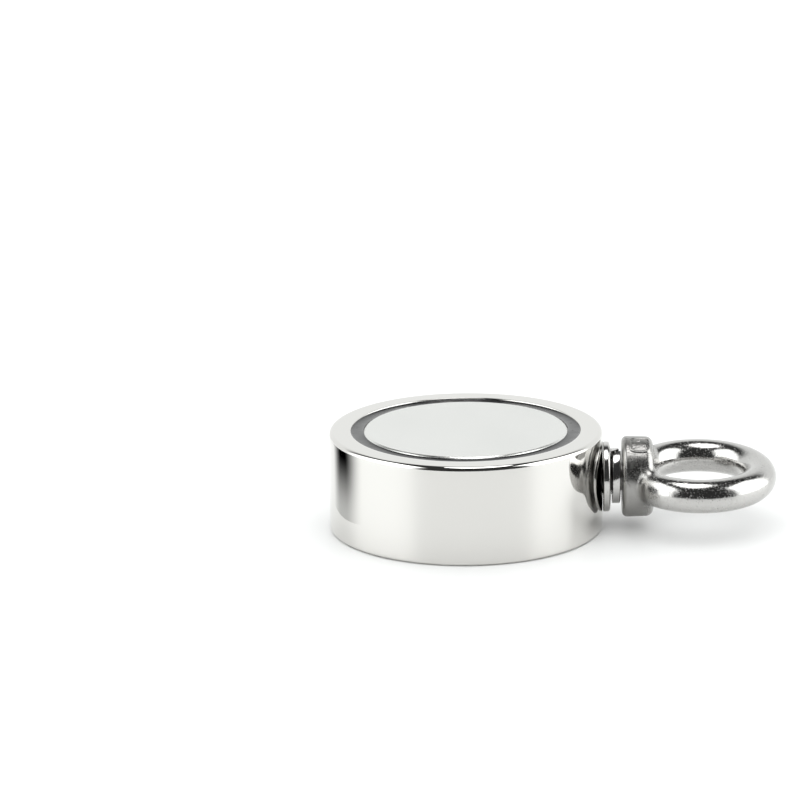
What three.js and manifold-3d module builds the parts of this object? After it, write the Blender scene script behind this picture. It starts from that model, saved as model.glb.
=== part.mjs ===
// Double-sided magnet fishing magnet with a side-mounted eye bolt.
//
// A turned steel body has a round pocket in each flat face. Each pocket holds a disc magnet on an
// adhesive layer, with a ring of black potting resin round it. The eye bolt screws into a tapped
// hole in the side of the body, over a flat washer and a split spring washer.
//
// Millimetres. The origin is the centre of the lower face, +Z is the body's axis and +X runs out
// along the eye bolt.

import * as THREE from 'three';
import { mergeVertices } from 'three/addons/utils/BufferGeometryUtils.js';
import { ParametricGeometry } from 'three/addons/geometries/ParametricGeometry.js';
import Module from 'manifold-3d';

const wasm = await Module();
wasm.setup();

// Steel body
const BODY_DIAMETER = 80;
const BODY_HEIGHT = 29.5;
const BODY_EDGE_RADIUS = 1.3;
const POCKET_DIAMETER = 67.1;
const POCKET_DEPTH = 8;
const POCKET_LIP_CHAMFER = 0.3;
const BODY_SEGMENTS = 60;

// What lies in each pocket
const MAGNET_DIAMETER = 59.6;
const MAGNET_EDGE_RADIUS = 0.5;
const BOND_DIAMETER = 59;
const BOND_THICKNESS = 0.3;
const POTTING_RECESS = 0.45;
const POTTING_SAG = 0.3;
const POTTING_STEPS = 4;
const SEAM = 0.05;

// M10 coarse thread: radii and widths of the ridge, and the play between bolt and hole
const THREAD_PITCH = 1.5;
const THREAD_ROOT_RADIUS = 4.08;
const THREAD_CREST_RADIUS = 4.93;
const THREAD_CREST_WIDTH = THREAD_PITCH / 8;
const THREAD_FLANK_ANGLE = Math.PI / 6;
const THREAD_BURY = 0.2;
const THREAD_PLAY = 0.12;
const THREAD_FADE_TURNS = 0.5;
const THREAD_STEPS_PER_TURN = 24;

// Turns are counted from the side of the body, positive outwards
const BOLT_THREAD_TURNS = [-7.25, 2];
const HOLE_THREAD_TURNS = [-9, 1.5];
const DRILL_DEPTH = 14.5;
const DRILL_POINT_LENGTH = 2.5;
const DRILL_OVERRUN = 3;

// Eye bolt: distances along its axis are counted from the side of the body
const SHANK_TIP = -11.6;
const SHANK_CHAMFER = 0.8;
const SHANK_BURY = 1;
const COLLAR_BASE = 5.4;
const COLLAR_DIAMETER = 23.7;
const COLLAR_THICKNESS = 9.3;
const COLLAR_BASE_RADIUS = 1;
const COLLAR_FACE_RADIUS = 2.2;
const COLLAR_SEGMENTS = 40;
const RING_CENTRE = 28.3;
const RING_RADIUS = 17.65;
const RING_BAR_RADIUS = 4.85;
const RING_SEGMENTS = 48;
const RING_BAR_SEGMENTS = 16;
const RING_TURN = THREE.MathUtils.degToRad(3.5);

// Washers under the collar
const FLAT_WASHER_BASE = 0.1;
const FLAT_WASHER_DIAMETER = 20.6;
const FLAT_WASHER_BORE = 10.6;
const FLAT_WASHER_THICKNESS = 2;
const FLAT_WASHER_CHAMFER = 0.25;
const SPRING_WASHER_BASE = 2.3;
const SPRING_WASHER_DIAMETER = 16.2;
const SPRING_WASHER_BORE = 10.9;
const SPRING_WASHER_THICKNESS = 2.4;
const SPRING_WASHER_RISE = 0.5;
const SPRING_WASHER_LIFT = 0.25;
const SPRING_WASHER_SPLIT = THREE.MathUtils.degToRad(9);
const SPRING_WASHER_SLANT = THREE.MathUtils.degToRad(-14);
const SPRING_WASHER_SPLIT_AT = THREE.MathUtils.degToRad(203);
const WASHER_SEGMENTS = 40;

const EDGE_STEPS = 4;
const QUARTER_TURN = Math.PI / 2;

const bodyRadius = BODY_DIAMETER / 2;
const halfHeight = BODY_HEIGHT / 2;
const pocketRadius = POCKET_DIAMETER / 2;
const pocketFloor = halfHeight - POCKET_DEPTH;
const magnetRadius = MAGNET_DIAMETER / 2;
const magnetBase = pocketFloor + 2 * SEAM + BOND_THICKNESS;

const mirrorNickel = new THREE.MeshStandardMaterial({ color: 0xdedcd8, roughness: 0.06, metalness: 1 });
const satinNickel = new THREE.MeshStandardMaterial({ color: 0xcfcdc8, roughness: 0.35, metalness: 1 });
const stainless = new THREE.MeshStandardMaterial({ color: 0xa9a6a1, roughness: 0.3, metalness: 1 });
const washerSteel = new THREE.MeshStandardMaterial({ color: 0xb5b2ad, roughness: 0.25, metalness: 1 });
const blackResin = new THREE.MeshStandardMaterial({ color: 0x0b0b0c, roughness: 0.12, metalness: 0 });
const clearAdhesive = new THREE.MeshStandardMaterial({ color: 0x8d8f80, roughness: 0.3, metalness: 0 });

// A point of an outline: distance from the axis, then distance along it.
function point(radius, along) {
  return new THREE.Vector2(radius, along);
}

// Points on an arc of an outline, from one angle to another, both ends included.
function arc(centreRadius, centreAlong, radius, startAngle, endAngle) {
  const curve = new THREE.EllipseCurve(
    centreRadius, centreAlong, radius, radius, startAngle, endAngle, endAngle < startAngle,
  );
  return curve.getPoints(EDGE_STEPS);
}

// Turns an outline, listed from its low end to its high end, round the Z axis.
function turned(outline, segments) {
  return new THREE.LatheGeometry(outline, segments).rotateX(QUARTER_TURN);
}

// Turns a closed outline that stays clear of the axis, for rings.
function turnedRing(outline, segments) {
  return turned([...outline, outline[0]], segments);
}

// Welds a geometry's shared vertices and drops the triangles that shrink to nothing.
function welded(geometry) {
  const bare = geometry.clone();
  bare.deleteAttribute('normal');
  bare.deleteAttribute('uv');
  const merged = mergeVertices(bare);
  const corners = merged.index.array;
  const kept = [];
  for (let i = 0; i < corners.length; i += 3) {
    const [a, b, c] = corners.slice(i, i + 3);
    if (a !== b && b !== c && c !== a) kept.push(a, b, c);
  }
  merged.setIndex(kept);
  return merged;
}

// Makes a closed geometry a solid that can be joined and cut.
function solid(geometry) {
  const closed = welded(geometry);
  return new wasm.Manifold(new wasm.Mesh({
    numProp: 3,
    vertProperties: new Float32Array(closed.attributes.position.array),
    triVerts: new Uint32Array(closed.index.array),
  }));
}

// Gives a joined or cut solid back as a geometry.
function geometryOf(manifold) {
  const mesh = manifold.getMesh();
  const geometry = new THREE.BufferGeometry();
  geometry.setAttribute('position', new THREE.BufferAttribute(mesh.vertProperties, 3));
  geometry.setIndex(new THREE.BufferAttribute(mesh.triVerts, 1));
  geometry.computeVertexNormals();
  return geometry;
}

function named(name, geometry, material) {
  const mesh = new THREE.Mesh(geometry, material);
  mesh.name = name;
  return mesh;
}

// A right-hand thread ridge along Z. Its section is a trapezium that starts a little inside the
// root radius, and it shrinks into the root over half a turn at each end.
function threadRidge([firstTurn, lastTurn], radialOffset) {
  const height = THREAD_CREST_RADIUS - THREAD_ROOT_RADIUS + THREAD_BURY;
  const inner = THREAD_ROOT_RADIUS - THREAD_BURY + radialOffset;
  const crestHalf = THREAD_CREST_WIDTH / 2;
  const innerHalf = crestHalf + height * Math.tan(THREAD_FLANK_ANGLE);
  const section = [
    [0, -innerHalf], [height, -crestHalf], [height, crestHalf], [0, innerHalf], [0, -innerHalf],
  ];
  const sides = section.length - 1;
  const place = (u, v, target) => {
    const turn = firstTurn + u * (lastTurn - firstTurn);
    const fromEnd = Math.min(turn - firstTurn, lastTurn - turn);
    const size = Math.min(1, fromEnd / THREAD_FADE_TURNS);
    const [outwards, sideways] = section[Math.round(v * sides)];
    const radius = inner + size * outwards;
    const angle = turn * 2 * Math.PI;
    target.set(
      radius * Math.cos(angle), radius * Math.sin(angle), turn * THREAD_PITCH + size * sideways,
    );
  };
  const steps = Math.round((lastTurn - firstTurn) * THREAD_STEPS_PER_TURN);
  return new ParametricGeometry(place, steps, sides);
}

// The body with both pockets, before the side hole: its outline runs from the lower pocket's floor
// round the rim to the upper pocket's floor.
function bodyBlank() {
  const edgeCentre = bodyRadius - BODY_EDGE_RADIUS;
  const upperHalf = [
    ...arc(edgeCentre, halfHeight - BODY_EDGE_RADIUS, BODY_EDGE_RADIUS, 0, QUARTER_TURN),
    point(pocketRadius + POCKET_LIP_CHAMFER, halfHeight),
    point(pocketRadius, halfHeight - POCKET_LIP_CHAMFER),
    point(pocketRadius, pocketFloor),
    point(0, pocketFloor),
  ];
  const lowerHalf = upperHalf.map(({ x, y }) => point(x, -y)).reverse();
  return turned([...lowerHalf, ...upperHalf], BODY_SEGMENTS);
}

// The tapped hole as a solid: a drilled hole with a conical bottom, and its thread groove.
function tappedHole() {
  const drillRadius = THREAD_ROOT_RADIUS + THREAD_PLAY;
  const drill = turned([
    point(0, -DRILL_DEPTH),
    point(drillRadius, DRILL_POINT_LENGTH - DRILL_DEPTH),
    point(drillRadius, DRILL_OVERRUN),
    point(0, DRILL_OVERRUN),
  ], THREAD_STEPS_PER_TURN);
  return solid(drill).add(solid(threadRidge(HOLE_THREAD_TURNS, THREAD_PLAY)));
}

function steelBody() {
  const hole = geometryOf(tappedHole()).rotateY(QUARTER_TURN).translate(bodyRadius, 0, 0);
  return named('steel_body', geometryOf(solid(bodyBlank()).subtract(solid(hole))), mirrorNickel);
}

// Magnet, adhesive and resin of one pocket, measured up from the middle of the body.
function pocketFilling(side) {
  const magnet = turned([
    point(0, magnetBase),
    point(magnetRadius - MAGNET_EDGE_RADIUS, magnetBase),
    point(magnetRadius, magnetBase + MAGNET_EDGE_RADIUS),
    ...arc(
      magnetRadius - MAGNET_EDGE_RADIUS, halfHeight - MAGNET_EDGE_RADIUS, MAGNET_EDGE_RADIUS,
      0, QUARTER_TURN,
    ),
    point(0, halfHeight),
  ], BODY_SEGMENTS);

  const bondBase = pocketFloor + SEAM;
  const bond = turned([
    point(0, bondBase),
    point(BOND_DIAMETER / 2, bondBase),
    point(BOND_DIAMETER / 2, bondBase + BOND_THICKNESS),
    point(0, bondBase + BOND_THICKNESS),
  ], BODY_SEGMENTS);

  // The resin's top is a shallow trough: a parabola across the gap.
  const innerWall = magnetRadius + SEAM;
  const outerWall = pocketRadius - SEAM;
  const trough = [];
  for (let step = 0; step <= POTTING_STEPS; step += 1) {
    const across = step / POTTING_STEPS;
    const sag = POTTING_SAG * 4 * across * (1 - across);
    trough.push(point(
      THREE.MathUtils.lerp(outerWall, innerWall, across), halfHeight - POTTING_RECESS - sag,
    ));
  }
  const potting = turnedRing([
    point(innerWall, pocketFloor + SEAM),
    point(outerWall, pocketFloor + SEAM),
    ...trough,
  ], BODY_SEGMENTS);

  const filling = new THREE.Group();
  filling.add(named(`magnet_${side}`, magnet, satinNickel));
  filling.add(named(`bond_${side}`, bond, clearAdhesive));
  filling.add(named(`potting_${side}`, potting, blackResin));
  return filling;
}

// Ring, collar and threaded shank, forged and turned in one piece.
function eyeBolt() {
  const ring = new THREE.TorusGeometry(
    RING_RADIUS, RING_BAR_RADIUS, RING_BAR_SEGMENTS, RING_SEGMENTS,
  ).rotateY(QUARTER_TURN).rotateZ(RING_TURN).translate(0, 0, RING_CENTRE);

  const collarRadius = COLLAR_DIAMETER / 2;
  const collarFace = COLLAR_BASE + COLLAR_THICKNESS;
  const collar = turned([
    point(0, COLLAR_BASE),
    ...arc(
      collarRadius - COLLAR_BASE_RADIUS, COLLAR_BASE + COLLAR_BASE_RADIUS, COLLAR_BASE_RADIUS,
      -QUARTER_TURN, 0,
    ),
    ...arc(
      collarRadius - COLLAR_FACE_RADIUS, collarFace - COLLAR_FACE_RADIUS, COLLAR_FACE_RADIUS,
      0, QUARTER_TURN,
    ),
    point(0, collarFace),
  ], COLLAR_SEGMENTS);

  const core = turned([
    point(0, SHANK_TIP),
    point(THREAD_ROOT_RADIUS - SHANK_CHAMFER, SHANK_TIP),
    point(THREAD_ROOT_RADIUS, SHANK_TIP + SHANK_CHAMFER),
    point(THREAD_ROOT_RADIUS, COLLAR_BASE + SHANK_BURY),
    point(0, COLLAR_BASE + SHANK_BURY),
  ], THREAD_STEPS_PER_TURN);

  const bolt = solid(collar)
    .add(solid(ring))
    .add(solid(core).add(solid(threadRidge(BOLT_THREAD_TURNS, 0))));
  return named('eye_bolt', geometryOf(bolt), stainless);
}

function flatWasher() {
  const outer = FLAT_WASHER_DIAMETER / 2;
  const inner = FLAT_WASHER_BORE / 2;
  const low = FLAT_WASHER_BASE;
  const high = low + FLAT_WASHER_THICKNESS;
  const ring = turnedRing([
    point(inner, low),
    point(outer - FLAT_WASHER_CHAMFER, low),
    point(outer, low + FLAT_WASHER_CHAMFER),
    point(outer, high - FLAT_WASHER_CHAMFER),
    point(outer - FLAT_WASHER_CHAMFER, high),
    point(inner, high),
  ], WASHER_SEGMENTS);
  return named('flat_washer', ring, washerSteel);
}

// A flat C-shaped ring, bent into part of a helix: every vertex rises with its angle from the
// split, and the split is slanted by turning the upper face a little against the lower one.
function springWasher() {
  const outer = SPRING_WASHER_DIAMETER / 2;
  const inner = SPRING_WASHER_BORE / 2;
  const sweep = 2 * Math.PI - SPRING_WASHER_SPLIT;
  const outline = new THREE.Shape()
    .absarc(0, 0, outer, 0, sweep, false)
    .absarc(0, 0, inner, sweep, 0, true)
    .closePath();
  const ring = new THREE.ExtrudeGeometry(outline, {
    depth: SPRING_WASHER_THICKNESS, bevelEnabled: false, curveSegments: WASHER_SEGMENTS,
  });
  const corners = ring.attributes.position;
  for (let i = 0; i < corners.count; i += 1) {
    const radius = Math.hypot(corners.getX(i), corners.getY(i));
    const along = (Math.atan2(corners.getY(i), corners.getX(i)) + 2 * Math.PI) % (2 * Math.PI);
    const height = corners.getZ(i);
    const angle = along + SPRING_WASHER_SPLIT_AT + SPRING_WASHER_SLANT * height / SPRING_WASHER_THICKNESS;
    const rise = SPRING_WASHER_RISE * (1 - along / sweep);
    corners.setXYZ(i, radius * Math.cos(angle), radius * Math.sin(angle), height + rise);
  }
  ring.translate(-SPRING_WASHER_LIFT, 0, SPRING_WASHER_BASE);
  return named('spring_washer', ring, washerSteel);
}

const magnetAssembly = new THREE.Group();
magnetAssembly.position.z = halfHeight;

magnetAssembly.add(steelBody());
magnetAssembly.add(pocketFilling('upper'));
const lowerFilling = pocketFilling('lower');
lowerFilling.rotation.x = Math.PI;
magnetAssembly.add(lowerFilling);

// The bolt's own Z axis points out of the side of the body.
const boltAssembly = new THREE.Group();
boltAssembly.position.x = bodyRadius;
boltAssembly.rotation.y = QUARTER_TURN;
boltAssembly.add(flatWasher(), springWasher(), eyeBolt());
magnetAssembly.add(boltAssembly);

export default magnetAssembly;
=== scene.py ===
"""Double-sided magnet fishing magnet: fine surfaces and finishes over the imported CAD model.

A mirror-plated steel body holds a satin magnet disc in black resin in each face, and a forged
stainless eye bolt screws into its side over a flat washer and a spring washer. Every surface is
worked out with numpy from sizes that come from the frame. Lengths are in metres.
"""

import logging
import math
from collections.abc import Callable, Mapping, Sequence
from dataclasses import dataclass, field
from enum import Enum
from functools import cached_property

import bpy
import numpy as np
from mathutils import Matrix, Vector


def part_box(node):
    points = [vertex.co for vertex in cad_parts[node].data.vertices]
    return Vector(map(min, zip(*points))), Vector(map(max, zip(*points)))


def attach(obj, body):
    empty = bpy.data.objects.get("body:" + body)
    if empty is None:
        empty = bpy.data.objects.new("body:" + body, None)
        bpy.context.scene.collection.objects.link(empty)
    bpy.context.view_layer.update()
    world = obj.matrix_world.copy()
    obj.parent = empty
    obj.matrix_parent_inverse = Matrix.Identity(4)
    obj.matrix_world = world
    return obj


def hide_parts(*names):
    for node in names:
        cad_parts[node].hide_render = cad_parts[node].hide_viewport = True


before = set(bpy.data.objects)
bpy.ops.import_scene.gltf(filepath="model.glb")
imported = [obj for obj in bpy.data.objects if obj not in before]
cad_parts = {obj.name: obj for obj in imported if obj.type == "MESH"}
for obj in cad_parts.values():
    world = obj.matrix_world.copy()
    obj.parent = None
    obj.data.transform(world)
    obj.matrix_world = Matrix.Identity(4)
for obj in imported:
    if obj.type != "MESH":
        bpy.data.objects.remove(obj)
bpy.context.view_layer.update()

LOG = logging.getLogger("fishing_magnet")
Array = np.ndarray
MM = 0.001
QUARTER = math.pi / 2
SHARP_ANGLE = math.radians(40)
FULL = 2 * math.pi


# --- Surfaces ---------------------------------------------------------------------------------


@dataclass
class Surface:
    """A surface as arrays: points, quads and triangles, and polygons for flat ends."""

    points: Array
    quads: Array = field(default_factory=lambda: np.zeros((0, 4), int))
    triangles: Array = field(default_factory=lambda: np.zeros((0, 3), int))
    polygons: list[list[int]] = field(default_factory=list)

    def placed(self, matrix: Array) -> "Surface":
        """Moves the surface.

        Args:
            matrix: a 4 x 4 matrix.

        Returns:
            The moved surface.
        """
        moved = self.points @ matrix[:3, :3].T + matrix[:3, 3]
        return Surface(moved, self.quads, self.triangles, self.polygons)

    def joined(self, other: "Surface") -> "Surface":
        """Puts another surface beside this one.

        Args:
            other: the other surface.

        Returns:
            Both as one surface.
        """
        shift = len(self.points)
        return Surface(
            np.concatenate([self.points, other.points]),
            np.concatenate([self.quads, other.quads + shift]),
            np.concatenate([self.triangles, other.triangles + shift]),
            self.polygons + [[corner + shift for corner in each] for each in other.polygons],
        )

    def piece(self, name: str, sharp_angle: float = SHARP_ANGLE) -> bpy.types.Object:
        """Makes a smooth-shaded object of the surface.

        Args:
            name: the object's name.
            sharp_angle: faces that meet at more than this angle meet in a sharp edge.

        Returns:
            The object, linked to the scene, at the origin.
        """
        mesh = bpy.data.meshes.new(name)
        faces = self.quads.tolist() + self.triangles.tolist() + self.polygons
        mesh.from_pydata(self.points.tolist(), [], faces)
        mesh.polygons.foreach_set("use_smooth", np.ones(len(faces), bool))
        mesh.set_sharp_from_angle(angle=sharp_angle)
        mesh.update()
        made = bpy.data.objects.new(name, mesh)
        bpy.context.scene.collection.objects.link(made)
        return made


def grid_quads(rows: int, columns: int, wrap_rows: bool = False, wrap_columns: bool = True) -> Array:
    """Corner numbers of the quads of a grid whose points are listed row by row.

    A quad's normal is its column direction crossed with its row direction.

    Args:
        rows: number of rows of points.
        columns: number of points in a row.
        wrap_rows: the last row joins the first.
        wrap_columns: a row's last point joins its first.

    Returns:
        An array of quads, four corner numbers each.
    """
    row = np.arange(rows if wrap_rows else rows - 1)[:, None]
    column = np.arange(columns if wrap_columns else columns - 1)[None, :]
    next_row, next_column = (row + 1) % rows, (column + 1) % columns
    corners = (
        row * columns + column,
        row * columns + next_column,
        next_row * columns + next_column,
        next_row * columns + column,
    )
    return np.stack(corners, -1).reshape(-1, 4)


def fan(pole: int, first: int, columns: int, reverse: bool) -> Array:
    """Triangles from a pole to a closed row of points.

    Args:
        pole: the pole's point number.
        first: the row's first point number.
        columns: number of points in the row.
        reverse: turns the triangles over.

    Returns:
        An array of triangles, three corner numbers each.
    """
    here = first + np.arange(columns)
    ahead = first + (np.arange(columns) + 1) % columns
    poles = np.full(columns, pole)
    return np.stack((poles, here, ahead) if reverse else (poles, ahead, here), -1)


def arc(centre: tuple[float, float], radius: float, start: float, end: float, steps: int) -> Array:
    """Points of an arc in an outline's plane, both ends included.

    Args:
        centre: its centre.
        radius: its radius.
        start: the first point's angle.
        end: the last point's angle.
        steps: number of stretches between points.

    Returns:
        An array of points.
    """
    angle = np.linspace(start, end, steps + 1)
    return np.stack([centre[0] + radius * np.cos(angle), centre[1] + radius * np.sin(angle)], -1)


def outline(*parts: Array | Sequence[Sequence[float]]) -> Array:
    """Joins stretches of an outline.

    Args:
        parts: the stretches, each a list of points.

    Returns:
        One array of points.
    """
    return np.concatenate([np.asarray(part, float).reshape(-1, 2) for part in parts])


def around_axis(radius: Array, height: Array, angle: Array) -> Array:
    """Points (radius cos t, radius sin t, height) round the Z axis, for each angle t.

    Args:
        radius: distance from the axis.
        height: distance along the axis.
        angle: angle round the axis.

    Returns:
        An array of points in one list.
    """
    across, up, along = np.broadcast_arrays(radius * np.cos(angle), radius * np.sin(angle), height)
    return np.stack([across, up, along], -1).reshape(-1, 3)


def capped(walls: Array, columns: int, low: float, high: float) -> Surface:
    """Closes a round wall with a pole on the Z axis at each end.

    Args:
        walls: the wall's points, row by row.
        columns: number of points in a row.
        low: height of the pole before the first row.
        high: height of the pole after the last row.

    Returns:
        The closed surface.
    """
    count = len(walls)
    ends = [
        fan(count, 0, columns, reverse=False),
        fan(count + 1, count - columns, columns, reverse=True),
    ]
    points = np.concatenate([walls, [[0, 0, low], [0, 0, high]]])
    return Surface(points, grid_quads(count // columns, columns), np.concatenate(ends))


def turned(profile: Array, columns: int) -> Surface:
    """Turns a profile that starts and ends on the axis.

    Args:
        profile: its points, each a radius and a height.
        columns: number of points round the axis.

    Returns:
        The closed surface.
    """
    angle = FULL * np.arange(columns) / columns
    walls = around_axis(profile[1:-1, 0, None], profile[1:-1, 1, None], angle)
    return capped(walls, columns, profile[0, 1], profile[-1, 1])


def turned_ring(profile: Array, columns: int) -> Surface:
    """Turns a closed profile that stays clear of the axis.

    Args:
        profile: its points, each a radius and a height.
        columns: number of points round the axis.

    Returns:
        The ring's surface.
    """
    angle = FULL * np.arange(columns) / columns
    points = around_axis(profile[:, 0, None], profile[:, 1, None], angle)
    return Surface(points, grid_quads(len(profile), columns, wrap_rows=True))


def smoothstep(low: float, high: float, value: Array) -> Array:
    """Rises smoothly from 0 to 1: share squared times (3 less twice the share).

    Args:
        low: where it is 0.
        high: where it is 1.
        value: where it is read.

    Returns:
        The height of the step at each value.
    """
    share = np.clip((value - low) / (high - low), 0, 1)
    return share * share * (3 - 2 * share)


def smooth_union(first: Array, second: Array, blend: float) -> Array:
    """Smaller of two distances, with the corner between the two shapes filled.

    It is less by a quarter of the blend times the square of how close they are to equal.

    Args:
        first: distance to the first shape.
        second: distance to the second shape.
        blend: difference of the two from which the corner isn't filled.

    Returns:
        The distance to the blended shape.
    """
    close = np.maximum(blend - np.abs(first - second), 0) / blend
    return np.minimum(first, second) - blend / 4 * close**2


# --- Where the sub-assemblies sit ---------------------------------------------------------------


class Seat(Enum):
    """The directions of a sub-assembly's own X, Y and Z axes, in the object's frame."""

    UPPER_FACE = ((1, 0, 0), (0, 1, 0), (0, 0, 1))
    LOWER_FACE = ((1, 0, 0), (0, -1, 0), (0, 0, -1))
    BOLT = ((0, 0, -1), (0, 1, 0), (1, 0, 0))

    def matrix(self, origin: Sequence[float]) -> Array:
        """Places a sub-assembly.

        Args:
            origin: where its own origin goes.

        Returns:
            The 4 x 4 matrix.
        """
        placed = np.eye(4)
        placed[:3, :3] = np.array(self.value, float).T
        placed[:3, 3] = origin
        return placed


@dataclass(frozen=True)
class Layout:
    """The main sizes and places, read from the CAD nodes' boxes."""

    body_low: Vector
    body_high: Vector

    @classmethod
    def from_frame(cls) -> "Layout":
        """Reads the steel body's box."""
        return cls(*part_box("steel_body"))

    @property
    def body_radius(self) -> float:
        """Radius of the steel body."""
        return (self.body_high.y - self.body_low.y) / 2

    @property
    def half_height(self) -> float:
        """Half of the body's height."""
        return (self.body_high.z - self.body_low.z) / 2

    @property
    def middle(self) -> tuple[float, float, float]:
        """The middle of the body."""
        return (0.0, 0.0, self.body_low.z + self.half_height)

    @property
    def bolt_seat(self) -> tuple[float, float, float]:
        """Where the bolt's axis leaves the side of the body."""
        return (self.body_radius, 0.0, self.middle[2])


# --- Material nodes -----------------------------------------------------------------------------

Input = float | Sequence[float] | bpy.types.NodeSocket
Sockets = Mapping[str, bpy.types.NodeSocket]


@dataclass(frozen=True)
class Graph:
    """Adds and links nodes in one node tree."""

    tree: bpy.types.NodeTree

    def node(
        self, kind: str, settings: Mapping[str, object] | None = None,
        inputs: Mapping[str | int, Input] | None = None,
    ) -> bpy.types.Node:
        """Adds a node.

        Args:
            kind: the node's type, such as ShaderNodeTexNoise.
            settings: the node's own properties.
            inputs: a value, or a socket to link from, for each input by name or number.

        Returns:
            The node.
        """
        made = self.tree.nodes.new(kind)
        for name, value in (settings or {}).items():
            setattr(made, name, value)
        for name, value in (inputs or {}).items():
            self.feed(made.inputs[name], value)
        return made

    def feed(self, socket: bpy.types.NodeSocket, value: Input) -> None:
        """Links an output to an input, or sets the input's own value.

        Args:
            socket: the input.
            value: the output to link from, or the value to set.
        """
        if isinstance(value, bpy.types.NodeSocket):
            self.tree.links.new(value, socket)
        else:
            socket.default_value = value

    def math(self, operation: str, first: Input, second: Input = 0.0) -> bpy.types.NodeSocket:
        """Adds a Math node.

        Args:
            operation: the node's operation, such as MULTIPLY.
            first: its first number.
            second: its second number.

        Returns:
            The result.
        """
        return self.node("ShaderNodeMath", {"operation": operation}, {0: first, 1: second}).outputs[0]

    def mix(self, share: Input, first: Input, second: Input) -> bpy.types.NodeSocket:
        """Adds a Mix node for numbers.

        Args:
            share: how much of the second number there is, from 0 to 1.
            first: the number where the share is 0.
            second: the number where the share is 1.

        Returns:
            The mixed number.
        """
        kind = {"data_type": "FLOAT"}
        return self.node("ShaderNodeMix", kind, {0: share, 2: first, 3: second}).outputs[0]

    def ramp(
        self, value: Input, low: float, high: float, start: float = 0.0, end: float = 1.0,
    ) -> bpy.types.NodeSocket:
        """Adds a smooth Map Range.

        Args:
            value: the number to map.
            low: where the rise begins.
            high: where the rise ends.
            start: the result up to low.
            end: the result from high on.

        Returns:
            The mapped number.
        """
        return self.node(
            "ShaderNodeMapRange", {"interpolation_type": "SMOOTHSTEP"},
            {"Value": value, "From Min": low, "From Max": high, "To Min": start, "To Max": end},
        ).outputs["Result"]

    def noise(
        self, vector: Input, scale: Input, detail: float = 2.0, roughness: float = 0.5,
    ) -> bpy.types.NodeSocket:
        """Adds a Noise Texture.

        Args:
            vector: where it is read.
            scale: cells in a metre.
            detail: number of finer octaves.
            roughness: how strong each finer octave is.

        Returns:
            The noise, from 0 to 1.
        """
        return self.node(
            "ShaderNodeTexNoise", None,
            {"Vector": vector, "Scale": scale, "Detail": detail, "Roughness": roughness},
        ).outputs["Fac"]

    def mapped(
        self, vector: Input, scale: Sequence[float], turn: Sequence[float] = (0.0, 0.0, 0.0),
    ) -> bpy.types.NodeSocket:
        """Adds a Mapping node.

        Args:
            vector: the vector to map.
            scale: its scale along each axis.
            turn: its turn round each axis.

        Returns:
            The mapped vector.
        """
        return self.node(
            "ShaderNodeMapping", None, {"Vector": vector, "Scale": scale, "Rotation": turn}
        ).outputs["Vector"]


def effect(
    name: str, inputs: Mapping[str, float | None], outputs: Sequence[str],
    build: Callable[[Graph, Sockets], Sockets],
) -> bpy.types.NodeTree:
    """Builds a shared effect as a node group, or returns it if it is there already.

    Args:
        name: the group's name.
        inputs: default value of each number input, or None for a vector input.
        outputs: names of the number outputs.
        build: makes the nodes from the graph and the group's inputs, and returns the outputs.

    Returns:
        The node group.
    """
    if name in bpy.data.node_groups:
        return bpy.data.node_groups[name]
    tree = bpy.data.node_groups.new(name, "ShaderNodeTree")
    for label, default in inputs.items():
        kind = "NodeSocketVector" if default is None else "NodeSocketFloat"
        socket = tree.interface.new_socket(name=label, in_out="INPUT", socket_type=kind)
        if default is not None:
            socket.default_value = default
    for label in outputs:
        tree.interface.new_socket(name=label, in_out="OUTPUT", socket_type="NodeSocketFloat")
    graph = Graph(tree)
    entry = graph.node("NodeGroupInput")
    results = build(graph, {label: entry.outputs[label] for label in inputs})
    graph.node("NodeGroupOutput", None, dict(results))
    return tree


def fine_grain() -> bpy.types.NodeTree:
    """Small even grain, as blasting, plating or tumbling leaves: fine noise over coarser noise.

    Returns:
        The node group.
    """
    fine_detail, fine_roughness = 3.0, 0.6
    coarse_share = 0.23
    speck_from, speck_full = 0.53, 0.70

    def build(graph: Graph, entry: Sockets) -> Sockets:
        """Fine and coarse noise, mixed by Coarseness, and specks where the fine noise peaks.

        Args:
            graph: the group's graph.
            entry: the group's inputs.

        Returns:
            Height and Specks.
        """
        fine = graph.noise(entry["Vector"], entry["Scale"], fine_detail, fine_roughness)
        coarse = graph.noise(
            entry["Vector"], graph.math("MULTIPLY", entry["Scale"], coarse_share)
        )
        return {
            "Height": graph.mix(entry["Coarseness"], fine, coarse),
            "Specks": graph.ramp(fine, speck_from, speck_full),
        }

    inputs = {"Vector": None, "Scale": 1000.0, "Coarseness": 0.4}
    return effect("fine_grain", inputs, ("Height", "Specks"), build)


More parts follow.
